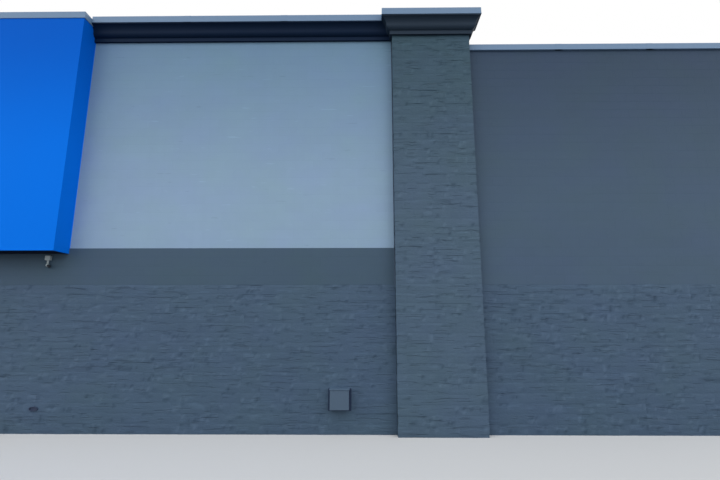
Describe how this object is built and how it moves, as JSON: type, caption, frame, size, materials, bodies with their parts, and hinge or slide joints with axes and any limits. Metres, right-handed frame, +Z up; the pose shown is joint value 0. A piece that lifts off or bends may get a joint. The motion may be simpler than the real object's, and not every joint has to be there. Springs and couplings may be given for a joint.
{
  "type": "supermarket building",
  "caption": "Single-storey block supermarket: raised centre bay with crown moulding between piers, blank blue sign box over a glazed entrance, lower wings.",
  "frame": {"origin": "on the ground in the middle of the building's overall outline", "axes": "+X along the front, to the right of someone who faces it; +Y from the front to the back; +Z up"},
  "size_m": [39.1144, 24.934, 9.479],
  "materials": {
    "coping_metal": "light grey folded metal",
    "smooth_block_dark": "smooth concrete block under grey masonry paint",
    "split_face_block": "split-face concrete block under grey masonry paint",
    "camera_shell": "light grey moulding",
    "door_glass": "clear glass",
    "frame_aluminium": "anodised aluminium",
    "floor_concrete": "trowelled concrete",
    "crown_paint": "dark painted moulding",
    "smooth_block_light": "smooth concrete block under pale blue-grey paint",
    "roof_membrane": "pale roof membrane",
    "sign_blue": "smooth blue panel",
    "outlet_plastic": "dark plastic",
    "fitting_paint": "painted over with the wall"
  },
  "bodies": {
    "root": {"back_coping": "coping_metal", "back_smooth_wall": "smooth_block_dark", "back_split_face_wall": "split_face_block", "camera_head": "camera_shell", "camera_mount": "camera_shell", "crown_coping_left": "coping_metal", "crown_coping_right": "coping_metal", "entrance_door_glass_left": "door_glass", "entrance_door_glass_right": "door_glass", "entrance_door_left": "frame_aluminium", "entrance_door_right": "frame_aluminium", "entrance_frame": "frame_aluminium", "entrance_glass": "door_glass", "floor_slab": "floor_concrete", "front_cornice_left": "crown_paint", "front_cornice_right": "crown_paint", "front_dark_band": "smooth_block_dark", "front_light_wall_left": "smooth_block_light", "front_light_wall_right": "smooth_block_light", "front_pier_left": "split_face_block", "front_pier_right": "split_face_block", "front_split_face_wall_left": "split_face_block", "front_split_face_wall_right": "split_face_block", "pier_capital_left": "crown_paint", "pier_capital_right": "crown_paint", "roof_deck": "roof_membrane", "side_coping_left": "coping_metal", "side_coping_right": "coping_metal", "side_smooth_wall_left": "smooth_block_dark", "side_smooth_wall_right": "smooth_block_dark", "side_split_face_wall_left": "split_face_block", "side_split_face_wall_right": "split_face_block", "sign_box_backing_wall": "smooth_block_dark", "sign_box_coping": "coping_metal", "sign_box_front": "sign_blue", "sign_box_side_left": "sign_blue", "sign_box_side_right": "sign_blue", "sign_box_soffit": "sign_blue", "wall_outlet": "outlet_plastic", "wall_vent_box": "fitting_paint", "wing_coping_left": "coping_metal", "wing_coping_right": "coping_metal", "wing_smooth_wall_left": "smooth_block_dark", "wing_smooth_wall_right": "smooth_block_dark", "wing_split_face_wall_left": "split_face_block", "wing_split_face_wall_right": "split_face_block"}
  },
  "joints": []
}
